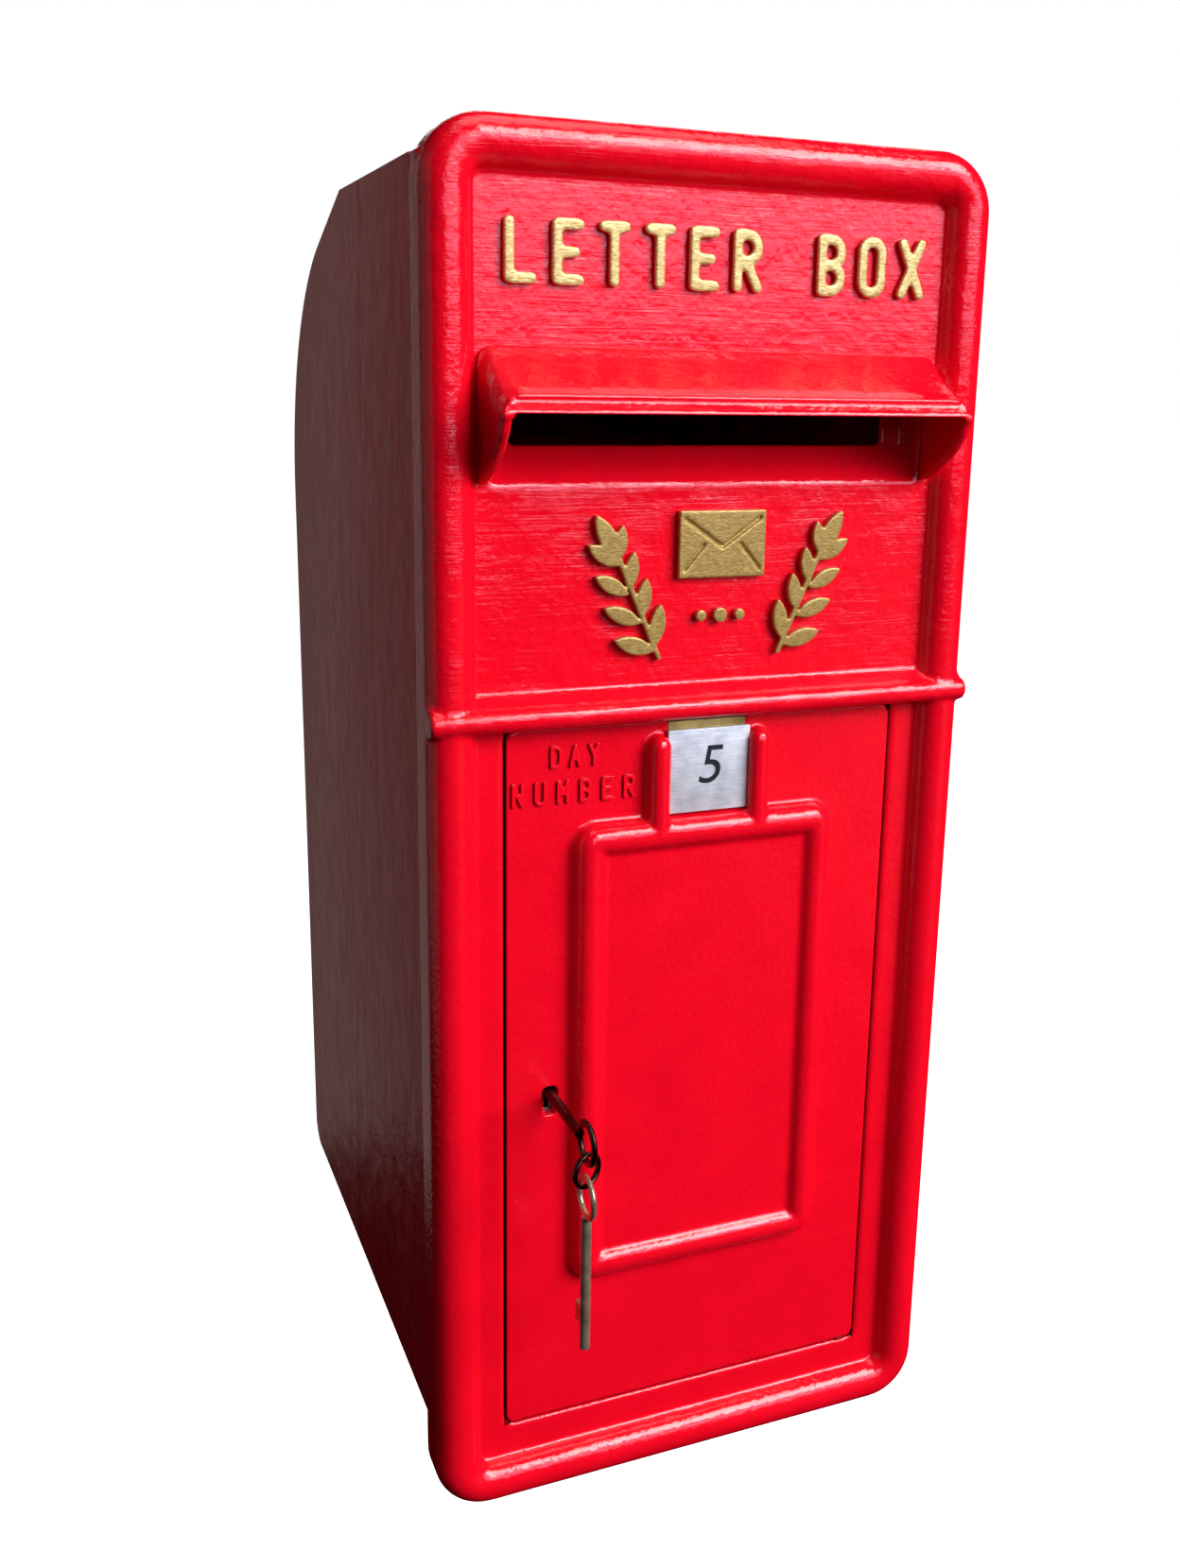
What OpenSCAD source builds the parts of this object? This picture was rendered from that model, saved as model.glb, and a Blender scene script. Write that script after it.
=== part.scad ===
// Wall-hung cast-iron letter box: front casting with a hooded slot, a hinged door with a lever
// lock, a lift-out day tablet, and a rear casing that bolts to the wall.
// Parts are drawn with the front plate's face at y = 0 and the bottom edge at z = 0;
// place() then moves that to the origin, the centre of the four wall-fixing holes.

/* [Front casting] */
// Width of the front casting
front_w = 250; // [215:1:300]
// Height of the front casting
front_h = 600; // [560:1:720]
// Radius of the front casting's corners
front_r = 25; // [22:1:40]
// Thickness of the front plate
plate_t = 6; // [5:0.5:8]
// Thickness of the flange round the front casting
flange_t = 5.5; // [4:0.5:7]
// Depth of the flange, from the plate's face to its back edge
flange_d = 14.5; // [13:0.5:20]
// Radius of the half-round rim bead
rim_r = 10; // [8:0.5:12]
// Height of the rim bead above the plate
rim_h = 9; // [6:0.5:9.5]
// Width of the flat strip between the door opening and the rim
strip_w = 13; // [12:0.5:18]

/* [Rear casing] */
// Depth from the front plate's face to the wall
casing_depth = 284; // [230:1:340]
// Wall thickness of the casing
casing_t = 5; // [4:0.5:7]
// Height of the casing's flat bottom above the bottom edge of the front
casing_bottom = 42; // [35:1:60]
// Drop from the top of the front to the casing's flat top
casing_drop = 14; // [12:1:30]
// Radius of the casing's upper back shoulder
shoulder_r = 132; // [100:1:140]
// Slope of the top behind its flat part, in degrees
roof_slope = 20; // [12:1:28]
// Height of the shoulder's centre below the casing's flat top
shoulder_drop = 144; // [140:1:160]
// Radius of the lower back corner
heel_r = 14; // [8:1:20]

/* [Wall fixing] */
// Radius of each wall-fixing hole
fix_r = 4.5; // [3.5:0.5:6]
// Distance across between the fixing holes
fix_w = 150; // [100:5:180]
// Distance up and down between the fixing holes
fix_h = 240; // [160:5:280]
// Height of the middle of the fixing holes above the bottom edge
fix_z = 260; // [220:5:280]

/* [Slot and hood] */
// Half of the slot's length
slot_half = 86; // [70:1:90]
// Height of the slot's lower edge above the bottom edge
slot_z = 478; // [440:1:540]
// Height of the slot
slot_h = 30; // [20:1:32]
// Half of the hood's width
hood_half = 103; // [95:1:103]
// How far the hood stands out
hood_d = 34; // [28:1:45]
// Thickness of the hood's cheeks
cheek_t = 4.5; // [3:0.5:6]

/* [Band] */
// Height of the underside of the band above the bottom edge
band_z = 364.5; // [340:0.5:370]
// Height of the band
band_h = 14.5; // [12:0.5:18]
// How far the band stands out
band_d = 11; // [10.5:0.5:14]

/* [Door] */
// Thickness of the door plate
door_t = 6; // [5.5:0.5:8]
// Gap round the door
door_gap = 1; // [0.9:0.1:1.5]
// Height of the bottom of the door opening
opening_z = 35.5; // [32:0.5:50]
// Radius of the opening's corners
opening_r = 4.5; // [3:0.5:8]
// Distance of the hinge axis from the edge of the opening
hinge_in = 8; // [8:0.5:12]
// Radius of the hinge pins
pin_r = 1.6; // [1.2:0.1:1.9]
// Half of the raised bead frame's width, to its outer edge
panel_half = 61.5; // [45:0.5:62]
// Height of the bead frame's outer bottom edge
panel_z0 = 105; // [80:1:150]
// Height of the bead frame's outer top edge
panel_z1 = 320.5; // [250:0.5:321]
// Radius of the bead
bead_r = 7; // [5:0.5:8]
// Height of the bead above the door
bead_h = 8; // [6:0.5:8]
// Height of the field inside the bead frame above the door
field_h = 4; // [1:0.5:5]

/* [Day tablet] */
// Width of the tablet that shows between the ribs
tablet_w = 37; // [28:1:44]
// Height of the tablet
tablet_h = 37; // [28:1:39]
// Thickness of the tablet
tablet_t = 2.4; // [1.5:0.1:3]
// Width of each rib beside the tablet
rib_w = 10; // [7:0.5:12]
// How far the tablet can lift with the door shut
tablet_lift = 4; // [2:0.5:5]

/* [Lock] */
// Distance of the key's axis from the lock-side edge of the opening
key_in = 21; // [20:0.5:26]
// Height of the key's axis above the bottom edge
key_z = 198.5; // [120:0.5:300]
// Radius of the key's shank
shank_r = 2.3; // [1.6:0.1:2.4]
// Reach of the key's bit from the axis
bit_r = 9.3; // [8:0.1:9.4]
// Thickness of the key's bit
bit_t = 2.2; // [1.5:0.1:2.6]
// How far the bolt is thrown
bolt_throw = 10; // [7:0.5:11]
// Thickness of the lock's steel sheet
sheet_t = 1.2; // [1:0.1:1.6]
// Number of levers
lever_n = 3; // [2:1:3]
// Thickness of each lever
lever_t = 1.3; // [1:0.1:1.4]

/* [Keys] */
// Overall length of a key
key_len = 81; // [65:1:90]
// How far the middle of the key's bow stands out from the door
bow_out = 46; // [38:1:55]
// Outer radius of a key's bow
bow_r = 10; // [8:0.5:12]
// Width of the bow's rim
bow_w = 3.2; // [2:0.1:3.4]
// Thickness of the bow
bow_t = 2.4; // [1.5:0.1:2.5]
// Outer radius of the split ring
ring_r = 8; // [7:0.5:12]
// Thickness of the split ring across its rim
ring_w = 2; // [1.4:0.1:2.2]
// Thickness of the split ring's two turns along its axis
ring_t = 2.6; // [1.9:0.1:3]
// Turn of the split ring about the vertical, in degrees
ring_turn = 26; // [0:1:40]

/* [Lettering] */
// Height of the header letters
header_h = 25; // [18:1:30]
// Stroke width of the header letters
header_stroke = 4.5; // [3:0.5:6]
// Height of the bottom of the header above the bottom edge
header_z = 539; // [535:1:560]
// How far letters and emblem stand out
relief = 3; // [1:0.5:4]

/* [Hidden] */
$fn = 64;

red = [0.86, 0.02, 0.09];
gold = [0.78, 0.66, 0.32];
steel = [0.72, 0.72, 0.72];
brass = [0.76, 0.62, 0.3];
bronze = [0.3, 0.22, 0.18];

seat_gap = 0.3;       // between pieces of different bodies that come near each other
run_gap = 0.05;       // radial clearance of a shaft that turns
fit_gap = 0.1;        // radial clearance of a screw in its hole
cut = 1;              // how far a cutter runs past the surface it opens

half_w = front_w / 2;
opening_half = half_w - 2 * rim_r - strip_w;
opening_top = band_z - 0.5;
door_half = opening_half - door_gap;
door_z0 = opening_z + door_gap;
door_z1 = opening_top - door_gap;
casing_half = half_w - 0.5;
casing_top = front_h - casing_drop;
boss_x = casing_half - casing_t - 7.5;
boss_r = 6;
lug_d = 10;
boss_z = [80, front_h / 2, front_h - 80];
shoulder_y = casing_depth - shoulder_r;
shoulder_z = casing_top - shoulder_drop;
throat_y = 12;
sill_drop = 15;

opening_d = max(plate_t, door_t) + cut;
hinge_x = opening_half - hinge_in;
hinge_y = door_t / 2;
swing_r = norm([door_half - hinge_x, door_t - hinge_y]) + seat_gap;  // room for the door's hinged edge
pin_in_frame = 10;
pin_in_door = 14;

key_x = -opening_half + key_in;
case_l = -16;         // lock case, measured from the key's axis
case_r = 24;
case_b = -bit_r - 0.8 - sheet_t - 0.3;
case_top = 36;
case_d = 11.5;
lock_y0 = door_t;
lock_y1 = door_t + case_d;
bolt_y0 = lock_y0 + sheet_t + 0.4;
bolt_t = 3.6;
bolt_b = 7.5;
bolt_h = 12;
bolt_tail = 17;
bolt_end = -door_half + 0.5;
bit_y0 = bolt_y0 + 0.1;
bit_y1 = lock_y1 - 1.3;
lever_y0 = bolt_y0 + bolt_t + 0.3;
pivot = [18.5, 25];
pivot_r = 2;
stump = [2, 16.5];
stump_r = 1.5;
cap_posts = [[-11.8, case_b + sheet_t + 2.8], [19.5, case_b + sheet_t + 2.8], [19, 31.8]];
tab_x = [-6, 14];
tab_h = 8;
keep_x0 = -opening_half - strip_w + 0.8;
keep_x1 = -opening_half - 2;

pocket_half = tablet_w / 2;
groove_d = 1.2;
tablet_z = panel_z1 + 1.5;

module place() { translate([0, -casing_depth, -fix_z]) children(); }

// An outline in x and z, drawn from y0 back to y1.
module slab(y0, y1) { translate([0, y1, 0]) rotate([90, 0, 0]) linear_extrude(y1 - y0) children(); }

// An outline in y and z, drawn from x0 to x1.
module across(x0, x1) { translate([x0, 0, 0]) rotate([90, 0, 90]) linear_extrude(x1 - x0) children(); }

// A cylinder along y.
module rod(x, z, y0, y1, r) { translate([x, y1, z]) rotate([90, 0, 0]) cylinder(h = y1 - y0, r = r); }

module box(x0, x1, y0, y1, z0, z1) { translate([x0, y0, z0]) cube([x1 - x0, y1 - y0, z1 - z0]); }

module span(a, b) { translate(a) square(b - a); }

module rounded_rect(half, z0, z1, r) {
  span([-half, z0 + r], [half, z1 - r]);
  span([-half + r, z0], [half - r, z1]);
  for (x = [-half + r, half - r], z = [z0 + r, z1 - r]) translate([x, z]) circle(r);
}

// A half-round bead round a rectangle; half, z0 and z1 give its centre line.
module bead_loop(half, z0, z1, corner, r, h) {
  y = r - h;
  intersection() {
    union() {
      for (x = [-half, half]) translate([x, y, z0 + corner]) cylinder(h = z1 - z0 - 2 * corner, r = r);
      for (z = [z0, z1]) translate([-half + corner, y, z]) rotate([0, 90, 0])
        cylinder(h = 2 * half - 2 * corner, r = r);
      for (side = [0, 1], end = [0, 1])
        translate([(2 * side - 1) * (half - corner), y, end ? z1 - corner : z0 + corner])
          rotate([90, 0, 0]) rotate([0, 0, end ? (side ? 0 : 90) : (side ? 270 : 180)])
            rotate_extrude(angle = 90) intersection() {
              translate([corner, 0]) circle(r);
              translate([0, -r]) square([corner + r, 2 * r]);
            }
    }
    box(-half - 2 * r, half + 2 * r, -h - cut, min(y, 0) + 1, z0 - 2 * r, z1 + 2 * r);
  }
}

module pan_screw(x, z, y_head, y_tip, r, head_r, head_h) {
  rod(x, z, min(y_head, y_tip), max(y_head, y_tip), r);
  rod(x, z, min(y_head, y_head + head_h), max(y_head, y_head + head_h), head_r);
}

// ---- lettering: strokes on a grid 4.4 wide and 10 high ----

bowl_hi = [["l", 0, 10, 1.9, 10], ["a", 1.9, 7.5, 2.5, -90, 90], ["l", 0, 5, 1.9, 5]];
stem = [["l", 0, 0, 0, 10]];
cup = [["a", 2.2, 2.2, 2.2, 180, 360]];
sides = [["l", 0, 7.8, 0, 2.2], ["l", 4.4, 7.8, 4.4, 2.2]];

function glyph(c) =
  c == "L" ? concat(stem, [["l", 0, 0, 4.4, 0]]) :
  c == "E" ? concat(stem, [["l", 0, 10, 4.4, 10], ["l", 0, 5, 3.6, 5], ["l", 0, 0, 4.4, 0]]) :
  c == "T" ? [["l", 2.2, 0, 2.2, 10], ["l", 0, 10, 4.4, 10]] :
  c == "R" ? concat(stem, bowl_hi, [["l", 1.9, 5, 4.4, 0]]) :
  c == "B" ? concat(stem, bowl_hi, [["a", 1.9, 2.5, 2.5, -90, 90], ["l", 0, 0, 1.9, 0]]) :
  c == "O" ? concat(cup, sides, [["a", 2.2, 7.8, 2.2, 0, 180]]) :
  c == "U" ? concat(cup, [["l", 0, 10, 0, 2.2], ["l", 4.4, 10, 4.4, 2.2]]) :
  c == "X" ? [["l", 0, 0, 4.4, 10], ["l", 0, 10, 4.4, 0]] :
  c == "D" ? concat(stem, [["l", 0, 10, 1.2, 10], ["a", 1.2, 6.8, 3.2, 0, 90],
    ["l", 4.4, 6.8, 4.4, 3.2], ["a", 1.2, 3.2, 3.2, -90, 0], ["l", 1.2, 0, 0, 0]]) :
  c == "A" ? [["l", 0, 0, 2.2, 10], ["l", 2.2, 10, 4.4, 0], ["l", 0.8, 3.4, 3.6, 3.4]] :
  c == "Y" ? [["l", 0, 10, 2.2, 5], ["l", 4.4, 10, 2.2, 5], ["l", 2.2, 5, 2.2, 0]] :
  c == "N" ? concat(stem, [["l", 0, 10, 4.4, 0], ["l", 4.4, 0, 4.4, 10]]) :
  c == "M" ? concat(stem, [["l", 0, 10, 2.2, 4], ["l", 2.2, 4, 4.4, 10], ["l", 4.4, 10, 4.4, 0]]) :
  [];

module line_stroke(x1, z1, x2, z2, w) {
  length = norm([x2 - x1, z2 - z1]);
  translate([x1, z1]) rotate(atan2(z2 - z1, x2 - x1)) translate([0, -w / 2]) square([length, w]);
  for (p = [[x1, z1], [x2, z2]]) translate(p) circle(w / 2, $fn = 24);
}

module arc_stroke(x, z, r, a0, a1, w) {
  reach = 2 * (r + w);
  translate([x, z]) intersection() {
    difference() {
      circle(r + w / 2);
      circle(r - w / 2);
    }
    polygon(concat([[0, 0]], [for (i = [0 : 4]) let (a = a0 + (a1 - a0) * i / 4) reach * [cos(a), sin(a)]]));
  }
}

// A word with its first letter's left edge at x = 0 and its feet on z = 0.
module word(letters, height, pitch, w) {
  k = (height - w) / 10;
  for (i = [0 : len(letters) - 1]) translate([i * pitch + w / 2, w / 2])
    for (s = glyph(letters[i]))
      if (s[0] == "l") line_stroke(k * s[1], k * s[2], k * s[3], k * s[4], w);
      else arc_stroke(k * s[1], k * s[2], k * s[3], s[4], s[5], w);
}

// ---- front casting ----

module band_profile() {
  nose = 5;
  cy = -band_d + nose;
  cz = band_z + nose;
  translate([cy, cz]) circle(nose);
  difference() {
    polygon([[1, band_z], [cy, band_z], [cy, cz + nose], [0, band_z + band_h], [1, band_z + band_h]]);
    translate([cy - 1, band_z + band_h + 1.5]) circle(5);
  }
}

module front_frame() {
  seat_in = flange_t + 0.5;
  color(red) difference() {
    union() {
      slab(0, plate_t) rounded_rect(half_w, 0, front_h, front_r);
      slab(0, flange_d) difference() {
        rounded_rect(half_w, 0, front_h, front_r);
        rounded_rect(half_w - flange_t, flange_t, front_h - flange_t, front_r - flange_t);
      }
      slab(plate_t - cut, flange_d) difference() {
        span([-casing_half, casing_bottom], [casing_half, casing_top]);
        span([-half_w + seat_in, casing_bottom + seat_in], [half_w - seat_in, casing_top - seat_in]);
      }
      bead_loop(half_w - rim_r, rim_r, front_h - rim_r, front_r - rim_r, rim_r, rim_h);
      across(-half_w, half_w) band_profile();
      box(-slot_half - 14, slot_half + 14, plate_t - cut, flange_d, slot_z - 24, slot_z + slot_h + 8);
      box(-opening_half, opening_half, plate_t - cut, flange_d, opening_z - 4, casing_bottom + seat_in);
      for (x = [-boss_x, boss_x], z = boss_z) rod(x, z, plate_t - cut, flange_d, boss_r);
    }
    slab(-cut, opening_d)
      rounded_rect(opening_half, opening_z, opening_top, opening_r);
    translate([hinge_x, hinge_y, opening_z + 0.3]) cylinder(h = opening_top - opening_z - 1.3, r = swing_r);
    box(-slot_half, slot_half, -cut, flange_d + cut, slot_z, slot_z + slot_h);
    across(-hood_half + cheek_t + 1, hood_half - cheek_t - 1)
      polygon([[-cut, slot_z - sill_drop - 1], [0, slot_z - sill_drop], [throat_y, slot_z],
        [throat_y, slot_z + slot_h], [-cut, slot_z + slot_h]]);
    for (x = [-boss_x, boss_x], z = boss_z) rod(x, z, plate_t, flange_d + cut, 3 + fit_gap);
    for (z = [opening_z - pin_in_frame, opening_top - cut])
      translate([hinge_x, hinge_y, z]) cylinder(h = pin_in_frame + cut, r = pin_r);
    for (x = [-80, 0, 80]) rod(x, slot_z + slot_h + 5, -cut, flange_d + cut, 2 + fit_gap);
    for (x = [-60, 60]) rod(x, slot_z - 15, flange_d - 7, flange_d + cut, 2 + fit_gap);
    for (z = keep_z()) rod((keep_x0 + keep_x1) / 2, z, plate_t - 4, plate_t + cut, 1.5 + fit_gap);
  }
}

hood_foot = slot_z + slot_h + 13;
hood_lip = slot_z + 14.5;

// Outer line of the hood, from its foot on the plate to its lip.
hood_top = [[0, hood_foot], [-0.15 * hood_d, hood_foot - 6], [-0.3 * hood_d, hood_foot - 10.5],
  [-0.5 * hood_d, hood_foot - 15.5], [-0.7 * hood_d, hood_foot - 20], [-0.84 * hood_d, hood_foot - 22.7],
  [-hood_d, hood_lip + 5]];

module hood_roof() {
  polygon(concat(hood_top, [[-hood_d, hood_lip], [-0.9 * hood_d, hood_lip],
    [-0.5 * hood_d, slot_z + 21], [0, slot_z + slot_h - 2]]));
}

module cheek() {
  polygon(concat(hood_top, [[-hood_d, hood_lip + 1.5], [-0.97 * hood_d, hood_lip - 3.5],
    [-0.9 * hood_d, hood_lip - 8.5], [-0.72 * hood_d, hood_lip - 15.5], [-0.45 * hood_d, hood_lip - 22.5],
    [-0.2 * hood_d, hood_lip - 27], [0, hood_lip - 29.5]]));
}

module slot_hood() {
  color(red) difference() {
    union() {
      across(-hood_half, hood_half) hood_roof();
      across(-hood_half, -hood_half + cheek_t) cheek();
      across(hood_half - cheek_t, hood_half) cheek();
    }
    for (x = [-80, 0, 80]) rod(x, slot_z + slot_h + 5, -4.2, cut, 2 + fit_gap);
  }
}

module hood_screws() {
  color(steel) for (x = [-80, 0, 80])
    pan_screw(x, slot_z + slot_h + 5, flange_d, -4, 2, 3.6, 2.6);
}

module header_letters() {
  letters = "LETTER BOX";
  width = 2 * (opening_half + 1.5);
  letter_w = header_stroke + 4.4 * (header_h - header_stroke) / 10;
  pitch = (width - letter_w) / (len(letters) - 1);
  color(gold) slab(-relief, 0) translate([-width / 2 + 0.9, header_z])
    word(letters, header_h, pitch, header_stroke);
}

module leaf(x, z, angle, length, width) {
  r = (length * length / 4 + width * width / 4) / width;
  translate([x, z]) rotate(angle) intersection() {
    translate([length / 2, width / 2 - r]) circle(r);
    translate([length / 2, r - width / 2]) circle(r);
  }
}

// A leafy spray that leans outwards from its foot; side is -1 or 1.
module spray(side) {
  for (i = [0 : 3]) let (t = i / 3, x = side * (30 + 20 * t - 3 * t * t), z = 394 + 36 * t) {
    leaf(x, z, side > 0 ? 16 + 18 * t : 164 - 18 * t, 19 - 3 * t, 7.4 - t);
    leaf(x, z + 2, side > 0 ? 98 : 82, 18 - 3 * t, 7 - t);
  }
  leaf(side * 46, 432, side > 0 ? 60 : 120, 22, 8);
  line_stroke(side * 28, 391, side * 47, 434, 2.2);
}

// A closed envelope: a plate with the flap's and the seams' lines sunk into it.
module envelope(half, low, high) {
  fold = (low + high) / 2 - 2;
  line = 1.7;
  difference() {
    slab(-relief - 0.5, 0) span([-half, low], [half, high]);
    slab(-relief - 0.5 - cut, -relief + 0.7) {
      polygon([[-half + 2, high - 2], [0, fold + line], [half - 2, high - 2], [half - 2, high - 2 - line],
        [0, fold], [-half + 2, high - 2 - line]]);
      for (s = [-1, 1])
        polygon([[s * (half - 2), low + 2], [s * (half - 2), low + 2 + line], [s * 8.5, fold + 3],
          [s * 7.5, fold + 2]]);
    }
  }
}

module emblem() {
  mid = 3;
  color(gold) translate([mid, 0, 0]) {
    envelope(20, 424, 452);
    slab(-relief - 0.5, 0) {
      for (s = [-1, 1]) {
        spray(s);
        translate([s * 9, 408]) circle(2.4, $fn = 32);
      }
      translate([0, 408]) circle(3.2, $fn = 32);
    }
  }
}

// ---- rear casing ----

module casing_profile(t) {
  top = casing_top - t;
  low = casing_bottom + t;
  back = casing_depth - t;
  r = shoulder_r - t;
  heel = heel_r - t;
  touch = [shoulder_y + r * sin(roof_slope), shoulder_z + r * cos(roof_slope)];
  ridge = touch[0] - (top - touch[1]) / tan(roof_slope);
  polygon([[flange_d - (t > 0 ? cut : 0), low], [flange_d - (t > 0 ? cut : 0), top], [ridge, top], touch,
    [shoulder_y, shoulder_z], [back, shoulder_z], [back, low + heel], [back - heel, low]]);
  translate([shoulder_y, shoulder_z]) circle(r);
  translate([back - heel, low + heel]) circle(heel);
}

module rear_casing() {
  inner = casing_half - casing_t;
  color(red) difference() {
    union() {
      difference() {
        across(-casing_half, casing_half) casing_profile(0);
        across(-inner, inner) casing_profile(casing_t);
      }
      for (s = [0, 1], z = boss_z) mirror([s, 0, 0])
        box(boss_x - 7, inner + cut, flange_d, flange_d + lug_d, z - 8, z + 8);
    }
    for (x = [-boss_x, boss_x], z = boss_z) rod(x, z, flange_d - cut, flange_d + lug_d + cut, 3 + fit_gap);
    for (x = [-fix_w / 2, fix_w / 2], z = [fix_z - fix_h / 2, fix_z + fix_h / 2])
      rod(x, z, casing_depth - casing_t - cut, casing_depth + cut, fix_r);
  }
}

module casing_bolts() {
  back = flange_d + lug_d;
  color(steel) for (x = [-boss_x, boss_x], z = boss_z) {
    rod(x, z, plate_t + 1, back + cut, 3);
    translate([x, back + 4, z]) rotate([90, 0, 0]) cylinder(h = 4, r = 5.7, $fn = 6);
  }
}

module letter_chute() {
  y = flange_d;
  color(steel) difference() {
    across(-slot_half - 4, slot_half + 4)
      polygon([[y, slot_z - 24], [y, slot_z - 1], [y + 55, slot_z - 33], [y + 55, slot_z - 35],
        [y + 1.5, slot_z - 3.8], [y + 1.5, slot_z - 24]]);
    for (x = [-60, 60]) rod(x, slot_z - 15, y - cut, y + 1.5 + cut, 2 + fit_gap);
  }
}

module chute_screws() {
  color(steel) for (x = [-60, 60]) pan_screw(x, slot_z - 15, flange_d + 1.5, flange_d - 6, 2, 3.6, 2.4);
}

// ---- door and hinge ----

module hinge_pins() {
  color(steel) {
    translate([hinge_x, hinge_y, opening_z - pin_in_frame])
      cylinder(h = pin_in_frame + door_gap + pin_in_door, r = pin_r);
    translate([hinge_x, hinge_y, door_z1 - pin_in_door])
      cylinder(h = pin_in_frame + door_gap + pin_in_door, r = pin_r);
  }
}

module hinge_washer() {
  color(brass) translate([hinge_x, hinge_y, opening_z]) difference() {
    cylinder(h = door_gap - 0.2, r = hinge_y - 0.2);
    translate([0, 0, -cut]) cylinder(h = door_gap + 2 * cut, r = pin_r + run_gap);
  }
}

module keyhole(y0, y1, r, slot_w, drop) {
  rod(key_x, key_z, y0, y1, r);
  box(key_x - slot_w / 2, key_x + slot_w / 2, y0, y1, key_z - drop, key_z);
}

module rib(side) {
  x = side * (pocket_half + rib_w / 2);
  r = rib_w / 2;
  top = door_z1 - 5.5;
  translate([x, r - bead_h, panel_z1 - bead_r]) cylinder(h = top - r - panel_z1 + bead_r, r = r);
  translate([x, r - bead_h, top - r]) sphere(r);
  box(x - r, x + r, r - bead_h, cut, panel_z1 - bead_r, top - r);
}

module door() {
  corner = 10 - bead_r;
  color(red) difference() {
    union() {
      slab(0, door_t) rounded_rect(door_half, door_z0, door_z1, opening_r - door_gap);
      bead_loop(panel_half - bead_r, panel_z0 + bead_r, panel_z1 - bead_r, corner, bead_r, bead_h);
      box(-panel_half + bead_r, panel_half - bead_r, -field_h, cut, panel_z0 + bead_r, panel_z1 - bead_r);
      rib(-1);
      rib(1);
    }
    box(-pocket_half, pocket_half, -bead_h - cut, 1.2, panel_z1 + 0.5, door_z1 + cut);
    box(-pocket_half - groove_d, pocket_half + groove_d, -tablet_t - 0.8, 0, panel_z1 + 0.5, door_z1 + cut);
    keyhole(-cut, door_t + cut, 3.5, 6, bit_r + 1.2);
    for (x = tab_x, z = [case_b - tab_h / 2, case_top + tab_h / 2])
      rod(key_x + x, key_z + z, 2.4, door_t + cut, 2 + fit_gap);
    for (z = [door_z0 - cut, door_z1 - pin_in_door - 0.5])
      translate([hinge_x, hinge_y, z]) cylinder(h = pin_in_door + 0.5 + cut, r = pin_r + run_gap);
  }
}

module door_letters() {
  color(red) slab(-1, 0) {
    translate([-72, 346]) word("DAY", 10, 8.4, 1.6);
    translate([-89, 330.5]) word("NUMBER", 10.5, 10, 1.7);
  }
}

module tablet_backplate() {
  color(brass) box(-pocket_half + 0.1, pocket_half - 0.1, 0, 1.2, panel_z1 + 0.5, door_z1 - 0.5);
}

module day_tablet() {
  half = pocket_half + groove_d - seat_gap;
  color(steel) box(-half, half, -tablet_t - seat_gap, -seat_gap, tablet_z, tablet_z + tablet_h);
}

// ---- lock; its outlines are measured from the key's axis ----

module lock_slab(y0, y1) { translate([key_x, 0, key_z]) slab(y0, y1) children(); }

module lock_case() {
  inner_y = lock_y0 + sheet_t;
  color(steel) difference() {
    union() {
      lock_slab(lock_y0, lock_y1) span([case_l, case_b], [case_r, case_top]);
      lock_slab(lock_y0, inner_y) span([-12, case_b - tab_h], [20, case_top + tab_h]);
    }
    difference() {
      lock_slab(inner_y, lock_y1 + cut)
        span([case_l + sheet_t, case_b + sheet_t], [case_r - sheet_t, case_top - sheet_t]);
      for (p = cap_posts) rod(key_x + p[0], key_z + p[1], lock_y0, lock_y1, 2.6);
    }
    for (p = cap_posts) rod(key_x + p[0], key_z + p[1], inner_y + 1, lock_y1 + cut, 1.2 + fit_gap);
    keyhole(lock_y0 - cut, inner_y + cut, shank_r + run_gap, bit_t + 0.6, bit_r + 0.5);
    lock_slab(bolt_y0 - seat_gap, bolt_y0 + bolt_t + seat_gap)
      span([case_l - cut, bolt_b - seat_gap], [case_l + sheet_t + cut, bolt_b + bolt_h + seat_gap]);
    for (x = tab_x, z = [case_b - tab_h / 2, case_top + tab_h / 2])
      rod(key_x + x, key_z + z, lock_y0 - cut, inner_y + cut, 2 + fit_gap);
  }
}

module lock_cap() {
  color(steel) difference() {
    lock_slab(lock_y1, lock_y1 + sheet_t) span([case_l, case_b], [case_r, case_top]);
    rod(key_x, key_z, lock_y1 - cut, lock_y1 + sheet_t + cut, shank_r + run_gap);
    for (p = cap_posts) rod(key_x + p[0], key_z + p[1], lock_y1 - cut, lock_y1 + sheet_t + cut, 1.2 + fit_gap);
  }
}

module cap_screws() {
  back = lock_y1 + sheet_t;
  color(steel) for (p = cap_posts)
    pan_screw(key_x + p[0], key_z + p[1], back, lock_y1 - 6, 1.2, 2.4, 1.5);
}

module lock_screws() {
  color(steel) for (x = tab_x, z = [case_b - tab_h / 2, case_top + tab_h / 2])
    pan_screw(key_x + x, key_z + z, lock_y0 + sheet_t, 2.6, 2, 3.4, 2.2);
}

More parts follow.
